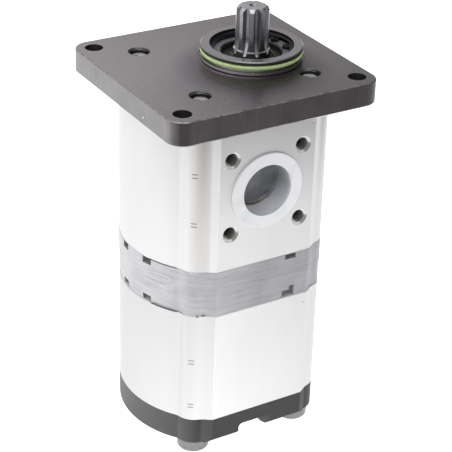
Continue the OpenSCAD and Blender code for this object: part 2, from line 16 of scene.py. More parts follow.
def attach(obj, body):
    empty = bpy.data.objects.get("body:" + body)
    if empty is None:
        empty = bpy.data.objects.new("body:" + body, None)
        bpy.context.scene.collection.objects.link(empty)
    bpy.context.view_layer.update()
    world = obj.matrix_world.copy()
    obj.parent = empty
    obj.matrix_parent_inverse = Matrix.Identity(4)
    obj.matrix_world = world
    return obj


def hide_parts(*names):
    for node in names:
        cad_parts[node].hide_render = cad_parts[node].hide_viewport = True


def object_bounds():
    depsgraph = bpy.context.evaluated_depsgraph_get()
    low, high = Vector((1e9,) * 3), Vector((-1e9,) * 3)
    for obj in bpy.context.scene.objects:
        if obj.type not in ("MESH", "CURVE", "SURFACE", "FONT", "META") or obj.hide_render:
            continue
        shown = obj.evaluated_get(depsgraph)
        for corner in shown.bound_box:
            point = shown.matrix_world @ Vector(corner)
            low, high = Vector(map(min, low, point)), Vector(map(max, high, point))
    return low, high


MM = 0.001

# Driving sizes, as in the CAD model
BODY_X = -15.66
PORT_Y = 43.2
END_R = 50.6
BOSS_R = 9.9
BOLT_HALF = 30.0
FRONT_TOP = -12.3
MIDDLE_TOP = -88.3
REAR_TOP = -112.9
COVER_TOP = -173.9
COVER_LOW = -188.4
HEAD_LOW = -195.7
HEAD_R = 8.2
PLATE_W = 112.6
PLATE_D = 107.0
CORNER_HOLE_HALF = (47.4, 44.3)
PILOT_RING_Z = 4.0
INLET_Z = -49.5
FRONT_OUTLET_Z = -50.3
REAR_OUTLET_Z = -143.4

# The middle plate's upper half stands out by a step, its lower half in, and its lip further in
PLATE_SPLIT = -100.6
PLATE_STEP = 0.15
LIP_HEIGHT = 1.5
LIP_STEP = 0.45

# Height of the through bolts' drawn ends, a little deeper than the CAD model's
BOLT_END = -2.1

CORNERS = ((-1, -1), (1, -1), (1, 1), (-1, 1))
BOLTS = [(BODY_X + sx * BOLT_HALF, sy * BOLT_HALF) for sx, sy in CORNERS]
CORNER_HOLES = [(BODY_X + sx * CORNER_HOLE_HALF[0], sy * CORNER_HOLE_HALF[1]) for sx, sy in CORNERS]

# Camera, solved from the photograph, whose frame is 452 by 452
PHOTO_SIZE = 452
CAMERA_FOCAL_PX = 1563.648
CAMERA_AZIMUTH = -31.438
CAMERA_ELEVATION = 28.281
CAMERA_ROLL = 1.806
CAMERA_SHIFT_MM = (12.275, 82.449)
CAMERA_DISTANCE_MM = 759.94
SENSOR_MM = 36.0

# Directions on the part: its own, and the photograph's left and front, level with the floor
UP = (0, 0, 1)
FRONT = (0, -1, 0)
LEFT = (-1, 0, 0)
PHOTO_LEFT = (-0.853, 0.522, 0)
PHOTO_FRONT = (-0.522, -0.853, 0)

WHITE = (1.0, 1.0, 1.0)

# Angles over which an edge between two faces stays sharp
SHARP_CAD = 25
SHARP_MESH = 30
SHARP_BEAD = 60
SHARP_THREAD = 20

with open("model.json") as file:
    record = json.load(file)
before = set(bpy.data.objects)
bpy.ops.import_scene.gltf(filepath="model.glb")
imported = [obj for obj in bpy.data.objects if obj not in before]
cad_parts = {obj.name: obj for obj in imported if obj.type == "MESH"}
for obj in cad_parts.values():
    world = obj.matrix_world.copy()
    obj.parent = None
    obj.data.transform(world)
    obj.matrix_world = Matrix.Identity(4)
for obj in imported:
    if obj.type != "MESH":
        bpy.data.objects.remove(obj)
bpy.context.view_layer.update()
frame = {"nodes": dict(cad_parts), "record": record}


# Helpers for shader nodes

class Shader:
    """A Principled material whose nodes are added by short calls."""

    def __init__(self, name):
        self.material = bpy.data.materials.new(name)
        self.material.use_nodes = True
        self.tree = self.material.node_tree
        self.principled = self.tree.nodes["Principled BSDF"]

    def node(self, kind, **settings):
        made = self.tree.nodes.new(kind)
        for key, value in settings.items():
            setattr(made, key, value)
        return made

    def link(self, source, target):
        self.tree.links.new(source, target)

    def set(self, **sockets):
        for key, value in sockets.items():
            self.principled.inputs[key.replace("_", " ")].default_value = value

    def point(self):
        """Object coordinates in metres."""
        return self.node("ShaderNodeTexCoord").outputs["Object"]

    def coordinate(self, axis):
        split = self.node("ShaderNodeSeparateXYZ")
        self.link(self.point(), split.inputs["Vector"])
        return split.outputs[axis]

    def noise(self, stretch, detail=2.0, roughness=0.5, distortion=0.0):
        """Noise over object coordinates, with its waves per millimetre along each axis."""
        mapping = self.node("ShaderNodeMapping")
        mapping.inputs["Scale"].default_value = [s / MM for s in stretch]
        self.link(self.point(), mapping.inputs["Vector"])
        made = self.node("ShaderNodeTexNoise")
        made.inputs["Scale"].default_value = 1.0
        made.inputs["Detail"].default_value = detail
        made.inputs["Roughness"].default_value = roughness
        made.inputs["Distortion"].default_value = distortion
        self.link(mapping.outputs["Vector"], made.inputs["Vector"])
        return made.outputs["Fac"]

    def ramp(self, value, stops):
        """Colour ramp through stops of (position, colour)."""
        made = self.node("ShaderNodeValToRGB")
        elements = made.color_ramp.elements
        while len(elements) < len(stops):
            elements.new(0.5)
        for element, (at, colour) in zip(elements, stops):
            element.position = at
            element.color = (*colour, 1)
        self.link(value, made.inputs["Fac"])
        return made.outputs["Color"]

    def mottled(self, noise, low, high):
        """Colour that runs from low to high over the middle of a noise."""
        return self.ramp(noise, [(0.3, low), (0.7, high)])

    def range(self, value, low, high, to_low, to_high):
        made = self.node("ShaderNodeMapRange")
        limits = {"From Min": low, "From Max": high, "To Min": to_low, "To Max": to_high}
        for socket, number in limits.items():
            made.inputs[socket].default_value = number
        self.link(value, made.inputs["Value"])
        return made.outputs["Result"]

    def maths(self, operation, *terms):
        made = self.node("ShaderNodeMath", operation=operation)
        for index, term in enumerate(terms):
            if isinstance(term, (int, float)):
                made.inputs[index].default_value = term
            else:
                self.link(term, made.inputs[index])
        return made.outputs["Value"]

    def product(self, first, *others):
        for other in others:
            first = self.maths("MULTIPLY", first, other)
        return first

    def weighted(self, *pairs):
        """Sum of values, each times its weight."""
        terms = [self.maths("MULTIPLY", value, weight) for value, weight in pairs]
        total = terms[0]
        for term in terms[1:]:
            total = self.maths("ADD", total, term)
        return total

    def mix(self, factor, a, b, blend="MIX"):
        made = self.node("ShaderNodeMix", data_type="RGBA", blend_type=blend)
        sockets = [s for s in made.inputs if s.enabled]
        for socket, term in zip(sockets, (factor, a, b)):
            if isinstance(term, (int, float)):
                socket.default_value = term
            elif isinstance(term, tuple):
                socket.default_value = (*term, 1)
            else:
                self.link(term, socket)
        return [s for s in made.outputs if s.enabled][0]

    def tint(self, tone, where, low, high):
        """Multiplies a tone by a colour that runs from low to high with a factor."""
        return self.mix(1.0, tone, self.mix(where, low, high), "MULTIPLY")

    def bump(self, height, strength, distance):
        """Bump from a height, with its distance in millimetres."""
        made = self.node("ShaderNodeBump")
        made.inputs["Strength"].default_value = strength
        made.inputs["Distance"].default_value = distance * MM
        self.link(height, made.inputs["Height"])
        self.link(made.outputs["Normal"], self.principled.inputs["Normal"])

    def facing(self, direction, low, high):
        """How far the surface faces a direction, from 0 at one cosine to 1 at another."""
        geometry = self.node("ShaderNodeNewGeometry")
        toward = self.node("ShaderNodeVectorMath", operation="DOT_PRODUCT")
        self.link(geometry.outputs["Normal"], toward.inputs[0])
        toward.inputs[1].default_value = direction
        return self.range(toward.outputs["Value"], low, high, 0.0, 1.0)

    def along(self, axis, low, high):
        """How far a point lies along an axis, from 0 at one coordinate to 1 at another."""
        return self.range(self.coordinate(axis), low * MM, high * MM, 0.0, 1.0)

    def radial(self, centre, low, high):
        """How far a point lies from an upright axis, from 0 at one radius to 1 at another."""
        away = self.node("ShaderNodeVectorMath", operation="SUBTRACT")
        self.link(self.point(), away.inputs[0])
        away.inputs[1].default_value = [c * MM for c in (*centre, 0)]
        flat = self.node("ShaderNodeVectorMath", operation="MULTIPLY")
        self.link(away.outputs["Vector"], flat.inputs[0])
        flat.inputs[1].default_value = (1, 1, 0)
        length = self.node("ShaderNodeVectorMath", operation="LENGTH")
        self.link(flat.outputs["Vector"], length.inputs[0])
        return self.range(length.outputs["Value"], low * MM, high * MM, 0.0, 1.0)

    def port_depth(self, deep, rise=0.0):
        """Depth behind a port face, from 0 at a small rise over it to 1 at a depth."""
        out = self.maths("ABSOLUTE", self.coordinate("Y"))
        return self.range(out, (PORT_Y - deep) * MM, (PORT_Y + rise) * MM, 1.0, 0.0)

    def colour(self, source):
        self.link(source, self.principled.inputs["Base Color"])

    def roughness(self, noise, low, high):
        """Roughness that runs from low to high over the middle of a noise."""
        self.link(self.range(noise, 0.3, 0.7, low, high), self.principled.inputs["Roughness"])


# Helpers for meshes

def smooth(made, sharp_angle):
    made.data.polygons.foreach_set("use_smooth", [True] * len(made.data.polygons))
    made.data.set_sharp_from_angle(angle=math.radians(sharp_angle))


def add_mesh(name, points, faces, body, material, sharp_angle):
    """Closed mesh that rides on a CAD body, smooth up to an angle."""
    mesh = bpy.data.meshes.new(name)
    mesh.from_pydata([Vector(p) * MM for p in points], [], faces)
    work = bmesh.new()
    work.from_mesh(mesh)
    bmesh.ops.recalc_face_normals(work, faces=work.faces)
    work.to_mesh(mesh)
    work.free()
    made = bpy.data.objects.new(name, mesh)
    bpy.context.scene.collection.objects.link(made)
    smooth(made, sharp_angle)
    made.data.materials.append(material)
    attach(made, body)
    return made


def rings_to_faces(rings, count, closed_loop):
    """Faces over rings of count points; the skin closes on itself or gets two end caps."""
    faces = []
    last = rings if closed_loop else rings - 1
    for i in range(last):
        near_start, far_start = i * count, (i + 1) % rings * count
        for j in range(count):
            k = (j + 1) % count
            faces.append((near_start + j, near_start + k, far_start + k, far_start + j))
    if not closed_loop:
        faces.append(tuple(range(count))[::-1])
        faces.append(tuple(range((rings - 1) * count, rings * count)))
    return faces


def lathe(name, profile, segments, body, material, place):
    """Solid of revolution round Z from a closed profile of (radius, height), then placed."""
    points = []
    for i in range(segments):
        turn = 2 * math.pi * i / segments
        for r, z in profile:
            points.append(place @ Vector((r * math.cos(turn), r * math.sin(turn), z)))
    faces = rings_to_faces(segments, len(profile), closed_loop=True)
    return add_mesh(name, points, faces, body, material, SHARP_MESH)


def skin(name, rings, body, material, sharp_angle=SHARP_MESH):
    """Closed mesh over rings that all have the same number of points, capped on both ends."""
    points = [point for ring in rings for point in ring]
    faces = rings_to_faces(len(rings), len(rings[0]), closed_loop=False)
    return add_mesh(name, points, faces, body, material, sharp_angle)


def ring_at(radius, z, sides, count=96):
    """Points round a circle at a height, or round a polygon whose flats lie at the radius."""
    points = []
    for i in range(count):
        turn = 2 * math.pi * i / count
        reach = radius
        if sides:
            sector = 2 * math.pi / sides
            reach = radius / math.cos(turn % sector - sector / 2)
        points.append(Vector((reach * math.cos(turn), reach * math.sin(turn), z)))
    return points


def arc(centre, radius, start, end, steps):
    """Points on a circle from one angle to another."""
    angles = [math.radians(start + (end - start) * i / steps) for i in range(steps + 1)]
    return [(centre[0] + radius * math.cos(a), centre[1] + radius * math.sin(a)) for a in angles]


def around(centre, radius, start, end, z, steps=12):
    """Path round an upright axis at a height, from one angle to another."""
    return [(x, y, z) for x, y in arc(centre, radius, start, end, steps)]


def wire(name, path, radius, body, material, sides=6):
    """Thin round bead along a path of points, tapered at both ends."""
    path = [Vector(point) for point in path]
    end_share = 0.35
    rings = []
    for i, point in enumerate(path):
        ahead = (path[min(i + 1, len(path) - 1)] - path[max(i - 1, 0)]).normalized()
        reference = Vector((0, 0, 1)) if abs(ahead.z) < 0.9 else Vector((1, 0, 0))
        across = ahead.cross(reference).normalized()
        up = across.cross(ahead)
        reach = radius * (end_share if i in (0, len(path) - 1) else 1)
        turns = [2 * math.pi * k / sides for k in range(sides)]
        rings.append([point + reach * (math.cos(t) * across + math.sin(t) * up) for t in turns])
    return skin(name, rings, body, material, SHARP_BEAD)


def port_place(z, side):
    """Placement that turns Z out of a port face, at a port's centre."""
    turn = Matrix.Rotation(-side * math.pi / 2, 4, "X")
    return Matrix.Translation((BODY_X, side * PORT_Y, z)) @ turn


def helix_ridge(name, radius, depth, pitch, low, high, body, material, place, inward=True):
    """Thread crest: a triangular ridge that winds along Z, inside or outside a cylinder."""
    per_turn = 32
    fade_steps = 8
    thinnest = 0.05
    sunk = 0.02
    side = -1 if inward else 1
    count = int((high - low) / pitch * per_turn)
    half = pitch * 0.32
    points = []
    for i in range(count + 1):
        turn = 2 * math.pi * i / per_turn
        z = low + pitch * i / per_turn
        fade = min(1.0, i / fade_steps, (count - i) / fade_steps)
        crest = radius + side * depth * max(fade, thinnest)
        root = radius - side * sunk
        for r, dz in ((root, -half), (crest, 0), (root, half)):
            points.append(place @ Vector((r * math.cos(turn), r * math.sin(turn), z + dz)))
    faces = rings_to_faces(count + 1, 3, closed_loop=False)
    return add_mesh(name, points, faces, body, material, SHARP_THREAD)


# Materials

def iron_plate():
    """Machined and blackened iron: satin, with a faint milling grain, and painted light: lighter to
    the left, darker toward the pilot as a painted reflection of it, the pilot lit on its left and
    upward faces.
    """
    s = Shader("blackened_iron")
    fine = s.noise((0.9, 0.05, 0.9), 4, 0.6)
    broad = s.noise((0.03, 0.03, 0.03), 2, 0.5)
    grain = s.mottled(s.weighted((fine, 0.45), (broad, 0.55)), (0.94, 0.94, 0.94), WHITE)
    # Painted light: the face is lighter to the left and darker to the right.
    face = s.mix(s.along("X", -75, 35), (0.518, 0.484, 0.505), (0.37, 0.348, 0.362))
    # Painted reflection: darker toward the front and round the pilot, as the satin face would
    # mirror the dark pilot.
    for where, shade in (
            (s.along("Y", -50, 0), (0.78, 0.775, 0.775)),
            (s.radial((-6, -10), 22, 40), (0.45, 0.415, 0.465)),
            (s.radial((-16, -27), 10, 46), (0.63, 0.595, 0.64))):
        face = s.tint(face, where, shade, WHITE)
    # Painted light: the pilot's wall is lighter where it faces left, and lighter on its upward
    # faces.
    left = s.facing((-0.97, -0.24, 0), 0.5, 0.95)
    below_ring = s.mix(left, (0.36, 0.345, 0.35), (0.85, 0.82, 0.83))
    over_ring = s.along("Z", PILOT_RING_Z - 0.3, PILOT_RING_Z + 0.3)
    wall = s.mix(over_ring, below_ring, (0.09, 0.096, 0.078))
    pilot = s.mix(s.facing(UP, 0.1, 0.3), wall, (0.25, 0.24, 0.246))
    pilot = s.mix(s.facing(UP, 0.85, 0.98), pilot, (0.48, 0.463, 0.472))
    tone = s.mix(s.along("Z", 0.2, 0.4), face, pilot)
    s.colour(s.mix(1.0, tone, grain, "MULTIPLY"))
    s.roughness(fine, 0.24, 0.34)
    s.set(Metallic=0.9)
    s.bump(s.noise((2.4, 0.25, 2.4), 3, 0.6), 0.03, 0.03)
    return s.material


def iron_side():
    """Milled sides of the plate: upright streaks, and painted light: lighter on the short side that
    faces left, darker on the others and darker still toward the right.
    """
    s = Shader("milled_iron")
    streaks = s.noise((1.3, 1.3, 0.06), 4, 0.65)
    broad = s.noise((0.09, 0.09, 0.05), 2, 0.5)
    tone = s.weighted((streaks, 0.6), (broad, 0.4))
    # Painted light: a lit copy for the side facing left, a shaded copy for the others, darker still
    # toward the right.
    dark = s.mottled(tone, (0.055, 0.053, 0.055), (0.1, 0.096, 0.1))
    light = s.mottled(tone, (0.135, 0.13, 0.133), (0.26, 0.252, 0.258))
    dark = s.tint(dark, s.along("X", -65, 0), (1.0, 0.945, 0.93), (0.7, 0.65, 0.645))
    s.colour(s.mix(s.facing(LEFT, 0.55, 0.95), dark, light))
    s.roughness(streaks, 0.34, 0.5)
    s.set(Metallic=0.85)
    s.bump(streaks, 0.3, 0.05)
    return s.material


def worn_iron(name, low, high):
    """Blackened iron rubbed brighter in spots, as on edges."""
    s = Shader(name)
    wear = s.noise((0.35, 0.35, 0.35), 4, 0.7)
    darker_tone, rubbed = (low, low * 0.97, low * 0.98), (high, high * 0.98, high)
    s.colour(s.ramp(wear, [(0.35, darker_tone), (0.65, rubbed)]))
    s.roughness(wear, 0.3, 0.42)
    s.set(Metallic=0.9)
    return s.material


def dark_bore():
    """Inside of a hole in the blackened plate, painted near black as the shade deep in it."""
    s = Shader("dark_bore")
    mottle = s.noise((0.8, 0.8, 0.8), 2, 0.5)
    s.colour(s.mottled(mottle, (0.006, 0.006, 0.007), (0.014, 0.013, 0.015)))
    s.roughness(mottle, 0.5, 0.65)
    return s.material


def dark_thread():
    """Cut thread in the blackened plate, brighter in spots."""
    s = Shader("dark_thread")
    mottle = s.noise((1.5, 1.5, 1.5), 3, 0.6)
    s.colour(s.mottled(mottle, (0.05, 0.048, 0.05), (0.2, 0.195, 0.2)))
    s.roughness(mottle, 0.25, 0.4)
    s.set(Metallic=0.9)
    return s.material


def tapped_aluminium(name, strength):
    """Cut aluminium, with painted shade that darkens it with depth and painted light where light
    would reach it and at the mouth's top.
    """
    s = Shader(name)
    depth = s.port_depth(10)
    cut = s.noise((1.2, 1.2, 1.2), 3, 0.6)
    shade = s.maths("ADD", depth, s.range(cut, 0.3, 0.7, -0.08, 0.08))
    # Painted shade and light: the darker tone deepens with depth, the lit tone is where the wall
    # faces the light and on the mouth's top.
    darker_tone = s.ramp(shade, [
        (0.0, (0.4, 0.38, 0.36)), (0.35, (0.2, 0.19, 0.18)), (0.8, (0.01, 0.01, 0.01))])
    lit_tone = s.ramp(shade, [(0.0, WHITE), (0.8, (1.0, 0.99, 0.98)), (0.95, (0.1, 0.1, 0.1))])
    at_mouth = s.range(depth, 0.1, 0.35, 1.0, 0.0)
    mouth = s.product(s.facing((-0.5, 0, -0.87), 0.3, 0.5), at_mouth)
    lit = s.maths("MAXIMUM", s.facing((0.75, 0, 0.66), 0.2, 0.35), mouth)
    s.colour(s.mix(1.0, s.mix(lit, darker_tone, lit_tone), (strength, strength, strength), "MULTIPLY"))
    s.roughness(cut, 0.3, 0.45)
    s.set(Metallic=0.05)
    return s.material


def iron_cover():
    """Painted casting: dark, matte, with a fine grain, and painted light: lighter where it faces
    left, darker where it faces the front.
    """
    s = Shader("dark_casting")
    grain = s.noise((1.6, 1.6, 1.6), 4, 0.65)
    broad = s.noise((0.06, 0.06, 0.06), 2, 0.5)
    tone = s.mix(0.5, grain, broad)
    dark = s.mottled(tone, (0.043, 0.042, 0.043), (0.063, 0.062, 0.064))
    lit_side = s.mottled(tone, (0.074, 0.073, 0.075), (0.11, 0.108, 0.111))
    # Painted light and shade: darker where the cover faces the front, lighter where it faces left.
    dark = s.tint(dark, s.facing(FRONT, 0.8, 0.98), (0.93, 0.91, 0.92), (0.6, 0.585, 0.595))
    s.colour(s.mix(s.facing((-0.9, 0.44, 0), 0.0, 0.9), dark, lit_side))
    s.roughness(grain, 0.55, 0.7)
    s.set(Metallic=0.2)
    s.bump(grain, 0.35, 0.12)
    return s.material


def extruded_aluminium():
    """Bright aluminium with faint lines along the extrusion, and painted shade and light: darker
    under the plate, to the right and on the rear body's left, a painted warm reflection on a boss
    and a painted highlight beside it.
    """
    s = Shader("extruded_aluminium")
    lines = s.noise((1.5, 1.5, 0.015), 4, 0.6)
    broad = s.noise((0.05, 0.05, 0.02), 2, 0.5)
    tone = s.mottled(s.mix(0.5, lines, broad), (0.8, 0.797, 0.802), (0.86, 0.857, 0.862))
    # Painted shade: darker on the front faces under the plate, toward the right, on faces turned
    # back-left and left, and on the rear body's left.
    under_plate = s.product(s.along("Z", -62, FRONT_TOP), s.facing(FRONT, 0.75, 0.97))
    rear_left = s.product(s.along("Z", MIDDLE_TOP, REAR_TOP), s.facing(LEFT, 0.0, 0.8))
    for where, shade in (
            (under_plate, 0.66), (s.along("X", -48, 16), 0.8),
            (s.facing(PHOTO_LEFT, 0.5, 1.0), 0.78), (s.facing(LEFT, 0.5, 0.9), 0.955),
            (rear_left, 0.84)):
        tone = s.tint(tone, where, WHITE, (shade, shade, shade))
    # Painted reflection: a warm band on the front body's boss.
    warm_reflection = s.product(s.along("X", -53.5, -50.5), s.along("X", -45, -46.2),
                     s.facing(FRONT, 0.5, 0.75), s.along("Z", REAR_TOP, -60))
    tone = s.tint(tone, warm_reflection, WHITE, (0.9, 0.875, 0.845))
    # Painted highlight: a pale band where the boss meets the front body's port face.
    pale = s.product(s.along("X", -45.4, -44.4), s.along("X", -41.9, -42.1),
                     s.facing(FRONT, 0.5, 0.75), s.along("Z", REAR_TOP, MIDDLE_TOP))
    s.colour(s.mix(s.product(pale, 0.55), tone, (0.96, 0.955, 0.955)))
    s.roughness(lines, 0.42, 0.55)
    s.set(Metallic=0.25)
    s.bump(lines, 0.1, 0.03)
    return s.material


def cast_aluminium():
    """Die-cast aluminium with flow streaks that run round the plate, and painted shade that darkens
    it toward the right.
    """
    s = Shader("cast_aluminium")
    streaks = s.noise((0.05, 0.05, 0.9), 5, 0.7, 0.8)
    cloud = s.noise((0.07, 0.07, 0.12), 3, 0.5, 0.4)
    grain = s.noise((1.6, 1.6, 1.6), 4, 0.8)
    cast = s.ramp(s.weighted((streaks, 0.5), (cloud, 0.25), (grain, 0.25)), [
        (0.38, (0.37, 0.37, 0.387)), (0.5, (0.48, 0.48, 0.498)), (0.62, (0.58, 0.58, 0.598))])
    # Painted shade: darker toward the right.
    s.colour(s.tint(cast, s.along("X", -48, -18), WHITE, (0.68, 0.68, 0.69)))
    s.roughness(streaks, 0.45, 0.6)
    s.set(Metallic=0.55)
    s.bump(s.weighted((streaks, 0.75), (grain, 0.25)), 0.3, 0.3)
    return s.material


def ground_steel():
    """Ground or hobbed steel with fine marks round the axis, and painted light: bright to the left
    and on its ends, dark to the right.
    """
    s = Shader("ground_steel")
    lines = s.noise((0.15, 0.15, 3.0), 3, 0.6)
    broad = s.noise((0.2, 0.2, 0.2), 2, 0.5)
    low, high = (0.3096, 0.3096, 0.3225), (0.4032, 0.4032, 0.42)
    steel = s.mottled(s.mix(0.5, lines, broad), low, high)
    # Painted light: brighter where the steel faces left and on its upward ends, darker where it
    # faces right.
    left = s.facing(PHOTO_LEFT, -0.8, 0.55)
    painted_light = s.mix(left, (0.28, 0.28, 0.29), (1.42, 1.41, 1.44))
    painted_light = s.mix(s.facing(UP, 0.6, 0.95), painted_light, (1.9, 1.87, 1.9))
    s.colour(s.mix(1.0, steel, painted_light, "MULTIPLY"))
    s.roughness(lines, 0.25, 0.4)
    s.set(Metallic=0.95)
    s.bump(lines, 0.15, 0.03)
    return s.material


def zinc_steel():
    """Zinc-plated steel: pale grey with a soft mottle."""
    s = Shader("zinc_plate")
    mottle = s.noise((0.5, 0.5, 0.5), 4, 0.6)
    s.colour(s.mottled(mottle, (0.17, 0.17, 0.17), (0.24, 0.24, 0.242)))
    s.roughness(mottle, 0.32, 0.48)
    s.set(Metallic=0.8)
    s.bump(mottle, 0.1, 0.05)
    return s.material


def rubber(name, low, high, roughness):
    """Soft, faintly pitted surface between two colours; also used for matte paint-like marks."""
    s = Shader(name)
    mottle = s.noise((0.4, 0.4, 0.4), 3, 0.5)
    s.colour(s.mottled(mottle, low, high))
    s.roughness(mottle, roughness - 0.06, roughness + 0.06)
    s.bump(s.noise((3, 3, 3), 2, 0.5), 0.1, 0.03)
    return s.material


def cap_plastic():
    """Milky plastic: white on the rim, with painted shade that greys it down the cup, where the
    dark port would show through, and painted light on upward faces.
    """
    s = Shader("milky_plastic")
    mottle = s.noise((0.12, 0.12, 0.12), 3, 0.5)
    shade = s.maths("ADD", s.port_depth(12, 0.2), s.range(mottle, 0.3, 0.7, -0.03, 0.03))
    # Painted shade: greyer with depth down the cup; painted light: lighter on upward faces.
    wall = s.ramp(shade, [
        (0.0, (0.86, 0.865, 0.885)), (0.1, (0.6, 0.61, 0.64)), (0.2, (0.47, 0.485, 0.515)),
        (0.75, (0.39, 0.4, 0.42)), (1.0, (0.3, 0.31, 0.33))])
    s.colour(s.mix(s.facing(UP, 0.0, 0.9), wall, (0.78, 0.8, 0.84)))
    s.roughness(mottle, 0.3, 0.42)
    s.set(IOR=1.5)
    return s.material


def cap_floor():
    """Floor of a cap's cup, over the dark port: painted shade in blue-grey, mottled with lighter
    painted reflections.
    """
    s = Shader("cap_floor")
    mottle = s.noise((0.16, 0.16, 0.16), 3, 0.55)
    s.colour(s.ramp(mottle, [
        (0.3, (0.15, 0.165, 0.178)), (0.5, (0.195, 0.195, 0.203)), (0.7, (0.25, 0.27, 0.315))]))
    s.roughness(mottle, 0.25, 0.4)
    return s.material


def grease():
    """Brown grease, wet and lumpy."""
    s = Shader("brown_grease")
    mottle = s.noise((0.8, 0.8, 0.8), 3, 0.6)
    s.colour(s.ramp(mottle, [(0.35, (0.03, 0.016, 0.01)), (0.65, (0.16, 0.1, 0.06))]))
    s.roughness(mottle, 0.15, 0.3)
    s.bump(mottle, 0.5, 0.3)
    return s.material


def plain_metal(name, colour, roughness):
    """Metal with a soft mottle below its colour."""
    s = Shader(name)
    mottle = s.noise((0.8, 0.8, 0.8), 3, 0.6)
    s.colour(s.mottled(mottle, tuple(c * 0.8 for c in colour), colour))
    s.roughness(mottle, roughness - 0.05, roughness + 0.08)
    s.set(Metallic=0.9)
    return s.material


MATERIALS = {
    "plate_iron": iron_plate(),
    "cover_iron": iron_cover(),
    "body_aluminium": extruded_aluminium(),
    "cast_aluminium": cast_aluminium(),
    "block_aluminium": plain_metal("block_aluminium", (0.7, 0.7, 0.71), 0.4),
    "gear_steel": ground_steel(),
    "spring_steel": plain_metal("phosphated_steel", (0.05, 0.055, 0.075), 0.35),
    "zinc_steel": zinc_steel(),
    "bush_bronze": plain_metal("bearing_bronze", (0.6, 0.4, 0.22), 0.4),
    "green_rubber": rubber("green_rubber", (0.54, 0.74, 0.3), (0.66, 0.85, 0.4), 0.42),
    "black_rubber": rubber("black_rubber", (0.012, 0.012, 0.013), (0.03, 0.03, 0.032), 0.45),
    "backup_plastic": rubber("backup_plastic", (0.78, 0.77, 0.7), (0.86, 0.85, 0.79), 0.5),
    "cap_plastic": cap_plastic(),
}


# Looks of the CAD nodes

def face_material(node, material, wanted):
    """Gives another material to a CAD node's faces whose centre and normal pass a test."""
    mesh = frame["nodes"][node].data
    mesh.materials.append(material)
    index = len(mesh.materials) - 1
    for face in mesh.polygons:
        if wanted(face.center / MM, face.normal):
            face.material_index = index


def near(point, places, radius):
    """Tells whether a point is within a radius of one of the upright axes at these places."""
    return any(math.hypot(point.x - x, point.y - y) < radius for x, y in places)


def dress_plate():
    """Edges, sides, holes and seal seat of the mounting plate."""
    side_zone, edge_zone = 8, 8.6
    hole_zone = 6
    steep, flat = 0.3, 0.95
    seat_r, seat_top = 21.6, 6.9

    def outer(point, zone):
        past_x = abs(point.x - BODY_X) > PLATE_W / 2 - zone
        past_y = abs(point.y) > PLATE_D / 2 - zone
        return (past_x or past_y) and not near(point, CORNER_HOLES + BOLTS, hole_zone)

    def side(point, normal):
        return outer(point, side_zone) and abs(normal.z) < steep

    def edge(point, normal):
        return outer(point, edge_zone) and steep < abs(normal.z) < flat

    def hole(point, normal):
        return abs(normal.z) < 0.5 and near(point, CORNER_HOLES + BOLTS, 5.2) and point.z < -0.3

    def countersink(point, normal):
        return near(point, BOLTS, 5.9) and steep < abs(normal.z) < flat and point.z > -1

    def seat(point, _):
        return near(point, [(0, 0)], seat_r) and point.z < seat_top

    # Painted shade: the holes' near-black walls, the darker countersinks and the near-black seal
    # seat; painted light on the sides.
    for material, wanted in (
            (iron_side(), side), (worn_iron("worn_iron", 0.17, 0.41), edge), (dark_bore(), hole),
            (worn_iron("countersink", 0.08, 0.16), countersink),
            (plain_metal("seal_seat", (0.05, 0.048, 0.05), 0.4), seat)):
        face_material("mounting_plate", material, wanted)


def port_holes():
    """Name, axis height, side, half spacing, radius and pitch of each port's threaded holes."""
    return (
        ("inlet", INLET_Z, -1, 19.45, 4.0, 1.25),
        ("front_outlet", FRONT_OUTLET_Z, 1, 14.15, 3.0, 1.0),
        ("rear_outlet", REAR_OUTLET_Z, 1, 12.35, 3.0, 1.0),
    )


def dress_ports():
    """Walls of the ports' threaded holes, down to their ends."""
    hole_depth = 14
    wall_room = 0.8
    # Painted shade: the walls between the thread crests are darker, 0.8 of the crests' brightness.
    root = tapped_aluminium("thread_root", 0.8)
    for _, port_z, side, half, radius, _ in port_holes():
        def tapped(point, _):
            if not PORT_Y - hole_depth <= point.y * side <= PORT_Y - 0.01:
                return False
            x, z = abs(point.x - BODY_X) - half, abs(point.z - port_z) - half
            return math.hypot(x, z) < radius + wall_room
        face_material("rear_body" if port_z < REAR_TOP else "front_body", root, tapped)


def dress_seal():
    """Grey rim of the shaft seal, round its black lips."""
    rim = rubber("seal_rim", (0.13, 0.13, 0.135), (0.2, 0.2, 0.205), 0.5)
    face_material("shaft_seal", rim, lambda point, normal: normal.z > 0.5 and point.z > 3)


def dress_pockets():
    """Grey inside of the pockets in the middle plate's edges."""
    inset, depth = 0.7, 3.2

    def inside(point, normal):
        if not REAR_TOP < point.z < MIDDLE_TOP:
            return False
        reach, y = math.hypot(point.x - BODY_X, point.y), abs(point.y)
        if y < PORT_Y - inset and reach < END_R - inset:
            return reach > END_R - depth or y > PORT_Y - depth
        level = abs(normal.z) > 0.9
        return level and abs(point.z - MIDDLE_TOP) > 1 and abs(point.z - REAR_TOP) > 1.7

    grey = rubber("pocket", (0.24, 0.24, 0.245), (0.34, 0.34, 0.35), 0.6)
    face_material("middle_plate", grey, inside)


def dress_caps():
    """Dark floors of the cups of the three caps: painted shade at the bottom of each cup."""
    floor = cap_floor()
    for node, depth in (("inlet_port_cap", 10.4), ("front_outlet_cap", 7), ("rear_outlet_cap", 7)):
        def deep(point, normal):
            return abs(normal.y) > 0.5 and abs(point.y) < PORT_Y - depth
        face_material(node, floor, deep)


def dress_cad_nodes():
    """Gives every CAD node its slot's material and smooth shading up to the edges."""
    for part in frame["record"]["subparts"]:
        node = frame["nodes"][part["node"]]
        node.data.materials.clear()
        node.data.materials.append(MATERIALS[part["material_slot"]])
        smooth(node, SHARP_CAD)
    dress_plate()
    dress_ports()
    dress_seal()
    dress_caps()
    dress_pockets()


# Detail pieces

